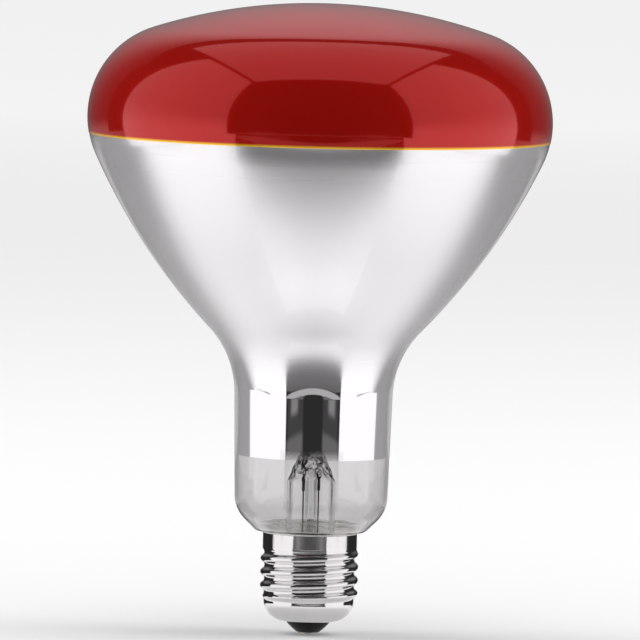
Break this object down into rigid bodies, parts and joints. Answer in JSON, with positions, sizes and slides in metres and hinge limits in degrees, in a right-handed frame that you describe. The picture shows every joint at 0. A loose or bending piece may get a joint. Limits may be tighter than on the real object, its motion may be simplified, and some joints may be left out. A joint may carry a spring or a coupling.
{
  "type": "infrared heat lamp bulb",
  "caption": "Reflector heat lamp bulb with a silvered glass body, a red dome, a clear neck ring showing the stem, and a rolled screw cap.",
  "frame": {"origin": "the flat tip of the centre contact's solder, on the lamp's axis", "axes": "+Z along the lamp's axis from the cap towards the dome; -Y towards the picture's viewer"},
  "size_m": [0.125, 0.125, 0.17],
  "materials": {
    "clear_glass": "clear polished glass",
    "mirror_film": "bright aluminium film seen through glass",
    "red_glass": "deep red stain, glossy",
    "stem_glass": "clear glass",
    "copper_clad_wire": "dull copper red",
    "nickel_wire": "bright wire",
    "copper_wire": "bright wire",
    "tungsten": "dark grey coiled wire",
    "support_wire": "fine grey wire",
    "cap_metal": "bright nickel plate, rolled",
    "black_glass": "black fused glass",
    "contact_metal": "dull plated disc",
    "solder": "soft grey solder",
    "cement": "baked buff cement"
  },
  "bodies": {
    "root": {"glass_envelope": "clear_glass", "reflector_coating": "mirror_film", "red_filter_coating": "red_glass", "stem_tube": "stem_glass", "exhaust_tube": "stem_glass", "support_rod": "stem_glass", "seal_wire_left": "copper_clad_wire", "seal_wire_right": "copper_clad_wire", "inner_lead_left": "nickel_wire", "inner_lead_right": "nickel_wire", "outer_lead_centre": "copper_wire", "outer_lead_side": "copper_wire", "filament": "tungsten", "cap_shell": "cap_metal", "cap_insulator": "black_glass", "centre_contact": "contact_metal", "centre_solder": "solder", "side_solder": "solder", "capping_cement": "cement", "filament_support_1": "support_wire", "filament_support_2": "support_wire", "filament_support_3": "support_wire", "filament_support_4": "support_wire", "filament_support_5": "support_wire"}
  },
  "joints": []
}
